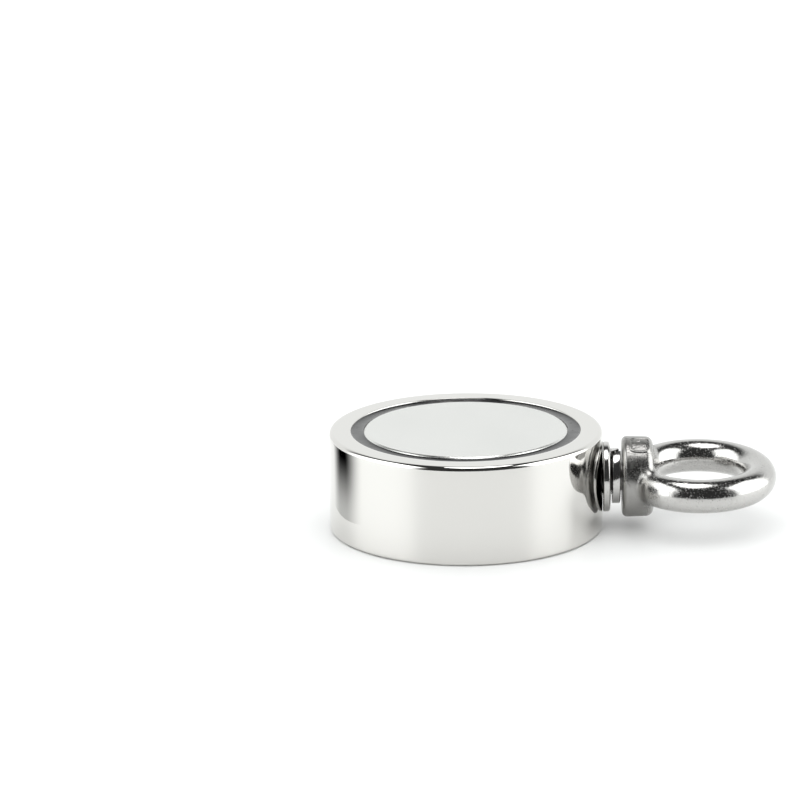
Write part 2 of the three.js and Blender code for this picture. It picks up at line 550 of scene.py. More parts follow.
def hairlines() -> bpy.types.NodeTree:
    """Sparse fine scratches in three directions: stretched noise, kept only near its peaks.

    Returns:
        The node group.
    """
    stretch = (1.0, 0.02, 0.02)
    turns = ((0.0, 0.0, 0.0), (0.4, 0.9, 2.1), (0.8, 1.8, 4.2))
    line_from, line_full = 0.70, 0.76
    patch_from, patch_full = 0.45, 0.62

    def build(graph: Graph, entry: Sockets) -> Sockets:
        """One stretched noise for each direction, and a patchy mask over them.

        Args:
            graph: the group's graph.
            entry: the group's inputs.

        Returns:
            Mask.
        """
        total: Input = 0.0
        for turn in turns:
            lines = graph.noise(graph.mapped(entry["Vector"], stretch, turn), entry["Scale"], 1.0)
            total = graph.math("MAXIMUM", total, graph.ramp(lines, line_from, line_full))
        patches = graph.noise(entry["Vector"], entry["Patch Scale"])
        shown = graph.ramp(patches, patch_from, patch_full)
        return {"Mask": graph.math("MULTIPLY", total, shown)}

    inputs = {"Vector": None, "Scale": 900.0, "Patch Scale": 45.0}
    return effect("hairlines", inputs, ("Mask",), build)


def handling_haze() -> bpy.types.NodeTree:
    """Broad faint haze from handling and wiping: slow noise with soft edges.

    Returns:
        The node group.
    """
    wipe_stretch, wipe_turn = (1.0, 0.55, 0.8), (0.0, 0.0, 0.5)
    haze_detail = 4.0
    haze_from, haze_full = 0.35, 0.75

    def build(graph: Graph, entry: Sockets) -> Sockets:
        """Slow noise, stretched a little along the wiping direction.

        Args:
            graph: the group's graph.
            entry: the group's inputs.

        Returns:
            Mask.
        """
        wiped = graph.mapped(entry["Vector"], wipe_stretch, wipe_turn)
        slow = graph.noise(wiped, entry["Scale"], haze_detail)
        return {"Mask": graph.ramp(slow, haze_from, haze_full)}

    return effect("handling_haze", {"Vector": None, "Scale": 40.0}, ("Mask",), build)


# --- Finishes -----------------------------------------------------------------------------------


@dataclass(frozen=True)
class Finish:
    """A finish that makes one material. Subclasses add what varies over the surface."""

    label: str
    slot: str
    color: tuple[float, float, float]
    roughness: float
    metallic: float = 1.0
    ior: float = 1.5

    def shade(self, graph: Graph, shader: bpy.types.Node, place: bpy.types.NodeSocket) -> None:
        """Links what varies over the surface. The plain finish has nothing to link."""

    def material(self) -> bpy.types.Material:
        """Makes the material, once.

        Returns:
            The material.
        """
        if self.label in bpy.data.materials:
            return bpy.data.materials[self.label]
        made = bpy.data.materials.new(self.label)
        made.use_nodes = True
        graph = Graph(made.node_tree)
        shader = made.node_tree.nodes["Principled BSDF"]
        shader.inputs["Base Color"].default_value = (*self.color, 1.0)
        shader.inputs["Roughness"].default_value = self.roughness
        shader.inputs["Metallic"].default_value = self.metallic
        shader.inputs["IOR"].default_value = self.ior
        place = graph.node("ShaderNodeTexCoord").outputs["Object"]
        self.shade(graph, shader, place)
        return made

    def mask(
        self, graph: Graph, tree: bpy.types.NodeTree, place: bpy.types.NodeSocket, scale: float,
    ) -> bpy.types.NodeSocket:
        """Places a shared effect that gives one mask.

        Args:
            graph: the material's graph.
            tree: the effect's node group.
            place: where it is read.
            scale: its scale.

        Returns:
            The mask.
        """
        inputs = {"Vector": place, "Scale": scale}
        return graph.node("ShaderNodeGroup", {"node_tree": tree}, inputs).outputs["Mask"]

    def grain(
        self, graph: Graph, place: bpy.types.NodeSocket, scale: float, coarseness: float,
    ) -> bpy.types.NodeOutputs:
        """Places the fine grain.

        Args:
            graph: the material's graph.
            place: where it is read.
            scale: grains in a metre.
            coarseness: share of the coarser grain.

        Returns:
            The outputs Height and Specks.
        """
        inputs = {"Vector": place, "Scale": scale, "Coarseness": coarseness}
        return graph.node("ShaderNodeGroup", {"node_tree": fine_grain()}, inputs).outputs

    def vary_roughness(
        self, graph: Graph, shader: bpy.types.Node, mask: bpy.types.NodeSocket, rise: float,
    ) -> None:
        """Raises the roughness where a mask is 1.

        Args:
            graph: the material's graph.
            shader: the material's shader.
            mask: where the roughness rises.
            rise: by how much.
        """
        rough = graph.mix(mask, self.roughness, self.roughness + rise)
        graph.feed(shader.inputs["Roughness"], rough)

    def vary_color(
        self, graph: Graph, shader: bpy.types.Node, mask: bpy.types.NodeSocket,
        other: Sequence[float],
    ) -> None:
        """Changes the colour where a mask is 1.

        Args:
            graph: the material's graph.
            shader: the material's shader.
            mask: where the other colour shows.
            other: the other colour.
        """
        inputs = {0: mask, 6: (*self.color, 1.0), 7: (*other, 1.0)}
        mixed = graph.node("ShaderNodeMix", {"data_type": "RGBA"}, inputs).outputs[2]
        graph.feed(shader.inputs["Base Color"], mixed)

    def bump(
        self, graph: Graph, shader: bpy.types.Node, height: bpy.types.NodeSocket, depth: float,
    ) -> None:
        """Links a bump to the shader's normal.

        Args:
            graph: the material's graph.
            shader: the material's shader.
            height: the height over the surface, from 0 to 1.
            depth: what a height of 1 stands for, in metres.
        """
        inputs = {"Strength": 1.0, "Distance": depth, "Height": height}
        normal = graph.node("ShaderNodeBump", None, inputs).outputs["Normal"]
        graph.feed(shader.inputs["Normal"], normal)


@dataclass(frozen=True)
class MirrorPlate(Finish):
    """Polished nickel plate: a clear mirror with faint haze, hairlines and polishing waves."""

    haze_scale: float = 42.0
    hairline_scale: float = 900.0
    wave_scale: float = 60.0
    haze: float = 0.035
    hairline_depth: float = 0.0000012
    wave_share: float = 3.0

    def shade(self, graph: Graph, shader: bpy.types.Node, place: bpy.types.NodeSocket) -> None:
        """Haze and hairlines raise the roughness, and hairlines and waves move the normal.

        Args:
            graph: the material's graph.
            shader: the material's shader.
            place: the object's own coordinates.
        """
        haze = self.mask(graph, handling_haze(), place, self.haze_scale)
        lines = self.mask(graph, hairlines(), place, self.hairline_scale)
        self.vary_roughness(graph, shader, graph.math("ADD", haze, lines), self.haze)
        waves = graph.math("MULTIPLY", graph.noise(place, self.wave_scale), self.wave_share)
        self.bump(graph, shader, graph.math("SUBTRACT", waves, lines), self.hairline_depth)


@dataclass(frozen=True)
class SatinPlate(Finish):
    """Satin nickel plate on a sintered magnet: very fine grain, faint stains and rub marks."""

    stain: tuple[float, float, float] = (0.695, 0.700, 0.680)
    haze_scale: float = 26.0
    hairline_scale: float = 600.0
    grain_scale: float = 2600.0
    coarseness: float = 0.3
    rub: float = 0.03
    grain_depth: float = 0.000003

    def shade(self, graph: Graph, shader: bpy.types.Node, place: bpy.types.NodeSocket) -> None:
        """Grain in the normal, haze in the colour and roughness, hairlines a little smoother.

        Args:
            graph: the material's graph.
            shader: the material's shader.
            place: the object's own coordinates.
        """
        haze = self.mask(graph, handling_haze(), place, self.haze_scale)
        lines = self.mask(graph, hairlines(), place, self.hairline_scale)
        self.vary_color(graph, shader, haze, self.stain)
        self.vary_roughness(graph, shader, graph.math("SUBTRACT", haze, lines), self.rub)
        grain = self.grain(graph, place, self.grain_scale, self.coarseness)
        self.bump(graph, shader, grain["Height"], self.grain_depth)


@dataclass(frozen=True)
class ForgedStainless(Finish):
    """Forged and tumbled stainless steel: dimpled skin, small dull specks and faint rub marks.

    Close to the body, where tumbling reaches least, the skin stays darker and duller. The darker
    colour there is also painted shade, standing in for the shadowed table that the collar and neck
    reflect.
    """

    # Colour of the dull specks, and of the painted shade with raw skin near the body.
    dark: tuple[float, float, float] = (0.26, 0.255, 0.245)
    haze_scale: float = 90.0
    hairline_scale: float = 1200.0
    grain_scale: float = 1900.0
    coarseness: float = 0.35
    grain_depth: float = 0.00004
    speck_share: float = 0.2
    dulling: float = 0.45
    haze_dulling: float = 0.1
    speck_dulling: float = 0.8
    hairline_share: float = 0.1
    # Up to the first of these distances along the bolt the colour is darker, fading out by the second:
    # raw skin and painted shade.
    raw_and_shade_share: float = 0.66
    raw_and_shade_to: float = 0.0525
    polished_and_unshaded_from: float = 0.0575
    raw_dulling: float = 0.55

    def shade(self, graph: Graph, shader: bpy.types.Node, place: bpy.types.NodeSocket) -> None:
        """Dimples in the normal, and raw skin with painted shade near the body, specks, haze and
        hairlines in colour and roughness.

        Args:
            graph: the material's graph.
            shader: the material's shader.
            place: the object's own coordinates.
        """
        grain = self.grain(graph, place, self.grain_scale, self.coarseness)
        haze = self.mask(graph, handling_haze(), place, self.haze_scale)
        lines = self.mask(graph, hairlines(), place, self.hairline_scale)
        along = graph.node("ShaderNodeSeparateXYZ", None, {"Vector": place}).outputs["X"]
        # Painted shade with raw skin: darker colour near the body, where the collar reflects the
        # shadowed table below it.
        raw_and_shade = graph.ramp(along, self.raw_and_shade_to, self.polished_and_unshaded_from, self.raw_and_shade_share, 0.0)
        specks = graph.math("MULTIPLY", grain["Specks"], self.speck_share)
        self.vary_color(graph, shader, graph.math("MAXIMUM", specks, raw_and_shade), self.dark)
        worn = graph.math("MULTIPLY", graph.math("MAXIMUM", haze, lines), self.haze_dulling)
        rough = graph.math("MULTIPLY", grain["Specks"], self.speck_dulling)
        skin = graph.math("MULTIPLY", raw_and_shade, self.raw_dulling)
        dull = graph.math("ADD", graph.math("ADD", worn, rough), skin)
        self.vary_roughness(graph, shader, dull, self.dulling)
        cuts = graph.math("MULTIPLY", lines, self.hairline_share)
        self.bump(graph, shader, graph.math("SUBTRACT", grain["Height"], cuts), self.grain_depth)


@dataclass(frozen=True)
class PouredResin(Finish):
    """Poured black resin: glossy, gently uneven, with a few pinholes and fine dust."""

    dust: tuple[float, float, float] = (0.075, 0.075, 0.075)
    wave_scale: float = 260.0
    pinhole_scale: float = 320.0
    pinhole_rim: float = 0.11
    pinhole_floor: float = 0.05
    pinhole_share: float = 0.5
    dust_scale: float = 1800.0
    haze_scale: float = 60.0
    coarseness: float = 0.4
    dulling: float = 0.12
    wave_depth: float = 0.00010

    def shade(self, graph: Graph, shader: bpy.types.Node, place: bpy.types.NodeSocket) -> None:
        """Slow waves and pinholes in the normal, dust in the colour and roughness.

        Args:
            graph: the material's graph.
            shader: the material's shader.
            place: the object's own coordinates.
        """
        cells = {"Vector": place, "Scale": self.pinhole_scale}
        distance = graph.node("ShaderNodeTexVoronoi", None, cells).outputs["Distance"]
        pinholes = graph.ramp(
            distance, self.pinhole_floor, self.pinhole_rim, self.pinhole_share, 0.0
        )
        haze = self.mask(graph, handling_haze(), place, self.haze_scale)
        grain = self.grain(graph, place, self.dust_scale, self.coarseness)
        self.vary_color(graph, shader, graph.math("MULTIPLY", grain["Specks"], haze), self.dust)
        self.vary_roughness(graph, shader, haze, self.dulling)
        waves = graph.noise(place, self.wave_scale)
        self.bump(graph, shader, graph.math("SUBTRACT", waves, pinholes), self.wave_depth)


@dataclass(frozen=True)
class CuredAdhesive(Finish):
    """The adhesive under a magnet: cloudy and slightly mottled."""

    cloud: tuple[float, float, float] = (0.32, 0.33, 0.27)
    haze_scale: float = 120.0

    def shade(self, graph: Graph, shader: bpy.types.Node, place: bpy.types.NodeSocket) -> None:
        """Slow mottling in the colour.

        Args:
            graph: the material's graph.
            shader: the material's shader.
            place: the object's own coordinates.
        """
        haze = self.mask(graph, handling_haze(), place, self.haze_scale)
        self.vary_color(graph, shader, haze, self.cloud)


MIRROR = MirrorPlate("polished_nickel_plate", "mirror_nickel", (0.690, 0.680, 0.657), 0.03)
SATIN = SatinPlate("satin_nickel_plate", "satin_nickel", (0.727, 0.730, 0.710), 0.24)
FORGED = ForgedStainless("forged_stainless", "stainless", (0.535, 0.527, 0.515), 0.11)
STAMPED = ForgedStainless(
    "stamped_stainless", "washer_steel", (0.58, 0.572, 0.56), 0.12,
    grain_scale=2200.0, grain_depth=0.000006, speck_dulling=0.3, raw_and_shade_share=0.0,
)
RESIN = PouredResin(
    "poured_black_resin", "black_resin", (0.015, 0.015, 0.016), 0.12, metallic=0.0, ior=1.45
)
ADHESIVE = CuredAdhesive(
    "cured_adhesive", "clear_adhesive", (0.45, 0.46, 0.38), 0.3, metallic=0.0
)


def fitted(piece: bpy.types.Object, finish: Finish, body: str, *nodes: str) -> bpy.types.Object:
    """Dresses a finished piece and hangs it on its CAD body.

    Args:
        piece: the object.
        finish: what it is made of.
        body: the CAD body that it moves with.
        nodes: the CAD nodes that it stands for.

    Returns:
        The object.
    """
    piece.data.materials.append(finish.material())
    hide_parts(*nodes)
    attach(piece, body)
    LOG.info("%s: %d faces, %s, rides on %s", piece.name, len(piece.data.polygons), finish.label, body)
    return piece


# --- Thread -------------------------------------------------------------------------------------


@dataclass(frozen=True)
class Thread:
    """Coarse 60-degree thread, right-handed along its own +Z axis."""

    pitch: float = 1.5 * MM
    root: float = 4.08 * MM
    crest: float = 4.93 * MM
    flank: float = math.radians(30)
    rows_per_turn: int = 20
    crest_share: float = 1 / 8

    def radius(self, height: Array, angle: Array, spread: float = 0.0) -> Array:
        """Distance from the axis to the thread's surface.

        The ridge's middle is where height / pitch - angle / a full turn is a whole number. The
        radius is the crest's less the slope of the flank, kept between root and crest.

        Args:
            height: distance along the axis.
            angle: angle round the axis.
            spread: added to every radius, for the hole.

        Returns:
            The radius at each point.
        """
        turn = height / self.pitch - angle / FULL
        off_ridge = (np.abs(turn - np.round(turn)) - self.crest_share / 2) * self.pitch
        return np.clip(self.crest - off_ridge / math.tan(self.flank), self.root, self.crest) + spread


# --- Magnet body --------------------------------------------------------------------------------


@dataclass(frozen=True)
class SteelBody:
    """The turned steel pot: a pocket in each face and a tapped hole in its side."""

    layout: Layout
    edge_radius: float = 1.3 * MM
    pocket_radius: float = 33.55 * MM
    pocket_depth: float = 8.0 * MM
    lip_radius: float = 0.3 * MM
    columns: int = 288
    patch_half_columns: int = 8
    patch_half_rows: int = 4
    patch_half_height: float = 7.0 * MM
    patch_rings: int = 5
    side_points: int = 4
    edge_steps: int = 16
    lip_steps: int = 6
    rim_points: int = 5
    mouth_radius: float = 5.4 * MM
    mouth_depth: float = 0.9 * MM
    thread_spread: float = 0.12 * MM
    tapped_depth: float = 12.0 * MM
    drilled_depth: float = 14.5 * MM
    drill_point: float = 2.5 * MM
    thread: Thread = Thread()

    def side_heights(self) -> Array:
        """Heights of the side wall's rows, evenly spaced across the hole's patch.

        Returns:
            The heights, from the lowest.
        """
        top = self.layout.half_height - self.edge_radius
        across = np.linspace(
            -self.patch_half_height, self.patch_half_height, 2 * self.patch_half_rows + 1
        )
        beyond = np.linspace(self.patch_half_height, top, self.side_points)[1:-1]
        return np.concatenate([-beyond[::-1], across, beyond])

    def upper_profile(self) -> Array:
        """Outline from the top of the side wall, over the rim and down to the pocket's floor.

        Returns:
            An array of radii and heights.
        """
        half, radius = self.layout.half_height, self.layout.body_radius
        edge_centre = (radius - self.edge_radius, half - self.edge_radius)
        edge = arc(edge_centre, self.edge_radius, 0, QUARTER, self.edge_steps)
        lip_centre = (self.pocket_radius + self.lip_radius, half - self.lip_radius)
        lip = arc(lip_centre, self.lip_radius, QUARTER, math.pi, self.lip_steps)
        rim = np.linspace(edge[-1], lip[0], self.rim_points)[1:-1]
        floor = half - self.pocket_depth
        return outline(
            edge, rim, lip, [(self.pocket_radius, floor), (self.pocket_radius / 2, floor)]
        )

    def shell(self) -> Surface:
        """The turned body with a rectangular gap in its side, where the hole's patch goes.

        Returns:
            The surface without the patch.
        """
        upper = self.upper_profile()
        lower = upper[::-1] * (1, -1)
        sides = self.side_heights()
        radius = np.full(len(sides), self.layout.body_radius)
        floor = self.layout.half_height - self.pocket_depth
        profile = outline([(0, -floor)], lower, np.stack([radius, sides], -1), upper, [(0, floor)])
        whole = turned(profile, self.columns)
        middle_row = len(lower) + len(sides) // 2
        rows = len(profile) - 2
        number = np.arange((rows - 1) * self.columns)
        row, column = number // self.columns, number % self.columns
        from_middle = (column + self.columns // 2) % self.columns - self.columns // 2
        low, high = middle_row - self.patch_half_rows, middle_row + self.patch_half_rows
        in_patch = (
            (row >= low) & (row < high)
            & (from_middle >= -self.patch_half_columns) & (from_middle < self.patch_half_columns)
        )
        return Surface(whole.points, whole.quads[~in_patch], whole.triangles)

    def patch_border(self) -> Array:
        """Numbers of the shell's points round the gap, counter-clockwise from outside.

        Returns:
            An array of point numbers.
        """
        middle = len(self.upper_profile()) + len(self.side_heights()) // 2
        wide, tall = self.patch_half_columns, self.patch_half_rows
        up, across = np.arange(-tall, tall), np.arange(-wide, wide)
        rows = np.concatenate([up, np.full(2 * wide, tall), -up, np.full(2 * wide, -tall)])
        columns = np.concatenate([np.full(2 * tall, wide), -across, np.full(2 * tall, -wide), across])
        return (middle + rows) * self.columns + columns % self.columns

    def hole(self, border: Array) -> Surface:
        """The patch round the hole, its mouth, its thread and its conical bottom.

        The patch's rings run from the border's points to the mouth's circle at the same angle,
        and lie on the body's side: x is the root of radius squared less y squared.

        Args:
            border: the border's points, in the body's own frame.

        Returns:
            A grid whose first row repeats the border, with a pole at its end.
        """
        radius = self.layout.body_radius
        angle = np.arctan2(border[:, 2], border[:, 1])
        mouth = self.mouth_radius * np.stack([np.cos(angle), np.sin(angle)], -1)
        share = np.linspace(0, 1, self.patch_rings + 1)[:, None, None]
        flat = (1 - share) * border[None, :, 1:] + share * mouth[None]
        rings = np.concatenate([np.sqrt(radius**2 - flat[..., :1] ** 2), flat], -1)

        step = self.thread.pitch / self.thread.rows_per_turn
        depth = np.arange(self.mouth_depth, self.tapped_depth, step)[:, None]
        around = np.arctan2(np.cos(angle), -np.sin(angle))[None, :]
        reach = self.thread.radius(-depth, around, self.thread_spread)
        reach[0] = self.thread.crest + self.thread_spread
        plain = np.full((1, len(angle)), self.thread.root + self.thread_spread)
        plain_end = self.drilled_depth - self.drill_point
        depth = np.concatenate([depth, [[self.tapped_depth], [plain_end]]])
        reach = np.concatenate([reach, plain, plain])
        wall = np.stack(
            [radius - depth + 0 * reach, reach * np.cos(angle), reach * np.sin(angle)], -1
        )
        rows = np.concatenate([rings, wall])
        count = rows.shape[0] * rows.shape[1]
        pole = [[radius - self.drilled_depth, 0, 0]]
        tip = fan(count, count - len(angle), len(angle), reverse=True)
        return Surface(
            np.concatenate([rows.reshape(-1, 3), pole]), grid_quads(rows.shape[0], len(angle)), tip
        )

    def surface(self) -> Surface:
        """The shell and the hole, welded along the patch's border.

        Returns:
            The body's closed surface.
        """
        shell = self.shell()
        border = self.patch_border()
        hole = self.hole(shell.points[border])
        merged = np.arange(len(hole.points)) + len(shell.points) - len(border)
        merged[: len(border)] = border
        return Surface(
            np.concatenate([shell.points, hole.points[len(border):]]),
            np.concatenate([shell.quads, merged[hole.quads]]),
            np.concatenate([shell.triangles, merged[hole.triangles]]),
        )

    def build(self) -> bpy.types.Object:
        """Makes and dresses the body.

        Returns:
            The body.
        """
        placed = self.surface().placed(Seat.UPPER_FACE.matrix(self.layout.middle))
        return fitted(placed.piece("body_shell"), MIRROR, "magnet", "steel_body")


@dataclass(frozen=True)
class PoleFace:
    """What shows in one pocket: the magnet disc and the resin round it."""

    layout: Layout
    side: str
    seat: Seat
    base_edge: float = 0.5 * MM
    chamfer_width: float = 0.65 * MM
    chamfer_height: float = 0.52 * MM
    chamfer_crown: float = 3.0 * MM
    chamfer_border: float = 0.06 * MM
    seam: float = 0.02 * MM
    resin_recess: float = 0.58 * MM
    resin_sag: float = 0.2 * MM
    resin_creep: float = 0.18 * MM
    pocket_radius: float = 33.55 * MM
    pocket_depth: float = 8.0 * MM
    edge_steps: int = 4
    chamfer_steps: int = 6
    top_rings: int = 6
    resin_points: int = 33
    creep_power: int = 8
    columns: int = 240

    @cached_property
    def magnet_box(self) -> tuple[Vector, Vector]:
        """Lowest and highest corner of the magnet disc."""
        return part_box(f"magnet_{self.side}")

    @property
    def magnet_radius(self) -> float:
        """Radius of the magnet disc."""
        return (self.magnet_box[1].y - self.magnet_box[0].y) / 2

    def chamfer(self) -> Array:
        """Outline of the disc's chamfer: a shallow arc across it, with a close point at each end.

        Returns:
            An array of radii and heights.
        """
        low = np.array([self.magnet_radius, self.layout.half_height - self.chamfer_height])
        high = np.array([self.magnet_radius - self.chamfer_width, self.layout.half_height])
        across = high - low
        outward = np.array([across[1], -across[0]]) / np.hypot(*across)
        sunk = math.sqrt(self.chamfer_crown**2 - np.dot(across, across) / 4)
        centre = (low + high) / 2 - outward * sunk
        start = math.atan2(*(low - centre)[::-1])
        end = math.atan2(*(high - centre)[::-1])
        border = self.chamfer_border
        return outline(
            [low - (0, border)],
            arc(tuple(centre), self.chamfer_crown, start, end, self.chamfer_steps),
            [high - (border, 0)],
        )

    def disc(self) -> Surface:
        """The magnet: a flat disc with a crowned chamfer, up to the level of the rim.

        Returns:
            The disc's closed surface.
        """
        half, radius = self.layout.half_height, self.magnet_radius
        base = half - (self.magnet_box[1].z - self.magnet_box[0].z)
        edge = self.base_edge
        chamfer = self.chamfer()
        top = np.linspace(chamfer[-1, 0], 0, self.top_rings + 1)[1:]
        profile = outline(
            [(0, base), (radius / 2, base)],
            arc((radius - edge, base + edge), edge, -QUARTER, 0, self.edge_steps),
            chamfer,
            np.stack([top, np.full(len(top), half)], -1),
        )
        return turned(profile, self.columns)

    def resin(self) -> Surface:
        """The resin: a shallow trough whose edges creep a little way up both walls.

        The trough's drop is the recess plus a parabola of the sag, less the creep, which falls
        off from each wall as a high power of the distance from the middle.

        Returns:
            The resin's closed surface.
        """
        inner, outer = self.magnet_radius + self.seam, self.pocket_radius - self.seam
        across = np.linspace(-1, 1, self.resin_points)
        creep = self.resin_creep * across**self.creep_power
        drop = self.resin_recess + self.resin_sag * (1 - across**2) - creep
        radius = (outer + inner) / 2 - across * (outer - inner) / 2
        top = np.stack([radius, self.layout.half_height - drop], -1)
        floor = self.layout.half_height - self.pocket_depth + self.seam
        return turned_ring(outline([(inner, floor), (outer, floor)], top), self.columns)

    def build(self) -> list[bpy.types.Object]:
        """Makes and dresses the disc and the resin, and gives the hidden adhesive its finish.

        Returns:
            The disc and the resin.
        """
        matrix = self.seat.matrix(self.layout.middle)
        disc = self.disc().placed(matrix).piece(f"disc_{self.side}")
        resin = self.resin().placed(matrix).piece(f"resin_{self.side}")
        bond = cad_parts[f"bond_{self.side}"]
        bond.data.materials.clear()
        bond.data.materials.append(ADHESIVE.material())
        return [
            fitted(disc, SATIN, "magnet", f"magnet_{self.side}"),
            fitted(resin, RESIN, "magnet", f"potting_{self.side}"),
        ]


# --- Eye bolt -----------------------------------------------------------------------------------


@dataclass(frozen=True)
class ForgedEye:
    """Ring and collar of the eye bolt as one blended solid, and its threaded shank.

    The ring's own frame has its first axis along the bolt, its second across the ring and its
    third along the ring's axis.
    """

    layout: Layout
    turn: float = math.radians(3.5)
    ring_radius: float = 17.65 * MM
    bar_radius: float = 4.85 * MM
    collar_base: float = 5.6 * MM
    collar_thickness: float = 9.1 * MM
    collar_taper: float = 0.25 * MM
    base_edge: float = 1.5 * MM
    face_edge: float = 2.2 * MM
    blend: float = 2.4 * MM
    ring_end: float = 10.6 * MM
    ring_end_round: float = 2.4 * MM
    pad_turn: float = math.radians(16)
    pad_place: float = 0.5 * MM
    pad_length: float = 3.8 * MM
    pad_width: float = 3.2 * MM
    pad_depth: float = 0.05 * MM
    pad_border: float = 0.16 * MM
    pip_radius: float = 0.6 * MM
    pip_height: float = 0.2 * MM
    pip_spacing: float = 1.6 * MM
    pip_top: float = 0.3
    pips: int = 3
    pad_squareness: float = 4.0
    pad_floor: tuple[float, float] = (0.76, 0.86)
    border_inside: tuple[float, float] = (0.72, 0.86)
    border_outside: tuple[float, float] = (0.9, 1.04)
    bend_weight: float = 0.9
    march_step: float = 0.2 * MM
    longest_ray: float = 16.0 * MM
    halvings: int = 16
    dense_angle: float = math.radians(46)
    dense_columns: int = 190
    open_columns: int = 120
    rows: int = 300
    shank_columns: int = 64
    shank_bury: float = 1.5 * MM
    tip_chamfer: float = 0.9 * MM
    tip_slope: float = 0.9
    thread_end: float = 3.0 * MM
    thread_fade: float = 0.9 * MM
    thread: Thread = Thread()

    @cached_property
    def box(self) -> tuple[Vector, Vector]:
        """Lowest and highest corner of the CAD eye bolt."""
        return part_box("eye_bolt")

    @property
    def collar_radius(self) -> float:
        """Radius of the collar."""
        return (self.box[1].z - self.box[0].z) / 2

    @property
    def ring_centre(self) -> float:
        """Distance of the ring's centre from the side of the body."""
        return self.box[1].x - self.layout.body_radius - self.ring_radius - self.bar_radius

    def ring_field(self, point: Array) -> Array:
        """Signed distance to the ring, which ends inside the collar.

        It is the distance from the ring's centreline circle, less the bar's radius, and the larger
        of that and the distance to the end's plane, rounded where the two are close.

        Args:
            point: points in the ring's own frame.

        Returns:
            The distance at each point, negative inside.
        """
        from_axis = np.hypot(point[..., 0] - self.ring_centre, point[..., 1]) - self.ring_radius
        ring = np.hypot(from_axis, point[..., 2]) - self.bar_radius
        before_end = self.ring_end - point[..., 0]
        return -smooth_union(-ring, -before_end, self.ring_end_round)

    def collar_field(self, point: Array) -> Array:
        """Signed distance to the collar: a rounded cylinder with a pad sunk in its upper side.

        It is the distance to a smaller cylinder less the edge radius. The pad is a rounded patch
        where the distance grows by the pad's depth, inside a low border, and three small domes
        in a triangle lower it again.

        Args:
            point: points in the ring's own frame.

        Returns:
            The distance at each point, negative inside.
        """
        along, across, up = point[..., 0], point[..., 1], point[..., 2]
        middle = self.collar_base + self.collar_thickness / 2
        off_middle = along - middle
        edge = np.where(off_middle < 0, self.base_edge, self.face_edge)
        radius = self.collar_radius - self.collar_taper * np.clip(
            off_middle / self.collar_thickness + 0.5, 0, 1
        )
        beyond_side = np.hypot(across, up) - (radius - edge)
        beyond_end = np.abs(off_middle) - (self.collar_thickness / 2 - edge)
        inside = np.minimum(np.maximum(beyond_side, beyond_end), 0)
        outside = np.hypot(np.maximum(beyond_side, 0), np.maximum(beyond_end, 0))
        plain = inside + outside - edge
        arc_length = (np.arctan2(-across, up) - self.pad_turn) * self.collar_radius
        along_pad = off_middle - self.pad_place
        power = self.pad_squareness
        oval = (
            (along_pad / self.pad_width) ** power + (arc_length / self.pad_length) ** power
        ) ** (1 / power)
        sunk = self.pad_depth * (1 - smoothstep(*self.pad_floor, oval))
        border = self.pad_border * smoothstep(*self.border_inside, oval)
        border = border * (1 - smoothstep(*self.border_outside, oval))
        raised = 0 * plain
        for pip in range(self.pips):
            angle = FULL * pip / self.pips
            from_pip = np.hypot(
                along_pad - self.pip_spacing * math.sin(angle),
                arc_length + self.pip_spacing * math.cos(angle),
            )
            dome = 1 - smoothstep(self.pip_top, 1.0, from_pip / self.pip_radius)
            raised = raised + self.pip_height * dome
        return plain + sunk - border - raised

    def solid_field(self, point: Array) -> Array:
        """Signed distance to ring and collar with a fillet between them.

        Args:
            point: points in the ring's own frame.

        Returns:
            The distance at each point, negative inside.
        """
        return smooth_union(self.ring_field(point), self.collar_field(point), self.blend)

    def ray_point(self, page: Array, angle: Array, reach: Array) -> Array:
        """A point on a ray that leaves the ring's centreline square to it.

        Args:
            page: where on the centreline, as an angle round the ring from its far end.
            angle: the ray's angle round the centreline from the ring's outside.
            reach: distance along the ray.

        Returns:
            Points in the ring's own frame.
        """
        from_axis = self.ring_radius + reach * np.cos(angle)
        return np.stack(
            [
                self.ring_centre + from_axis * np.cos(page),
                from_axis * np.sin(page),
                reach * np.sin(angle),
            ],
            -1,
        )

    def reach(self, page: Array, angle: Array) -> Array:
        """Distance along each ray to the surface: the first step out of the solid, then halved.

        Args:
            page: where on the centreline, as an angle round the ring from its far end.
            angle: the ray's angle round the centreline from the ring's outside.

        Returns:
            The distance of each ray.
        """
        low = np.zeros(np.broadcast(page, angle).shape)
        inside = np.ones_like(low, bool)
        for distance in np.arange(self.march_step, self.longest_ray, self.march_step):
            inside &= self.solid_field(self.ray_point(page, angle, distance + 0 * low)) < 0
            low = np.where(inside, distance, low)
        high = low + self.march_step
        for _ in range(self.halvings):
            middle = (low + high) / 2
            within = self.solid_field(self.ray_point(page, angle, middle)) < 0
            low, high = np.where(within, middle, low), np.where(within, high, middle)
        return (low + high) / 2

    def pages(self) -> Array:
        """Angles round the ring, close together where the collar is.

        Returns:
            An array of angles.
        """
        near = np.linspace(-self.dense_angle, self.dense_angle, self.dense_columns)
        far = np.linspace(self.dense_angle, FULL - self.dense_angle, self.open_columns + 2)[1:-1]
        return math.pi + np.concatenate([near, far])

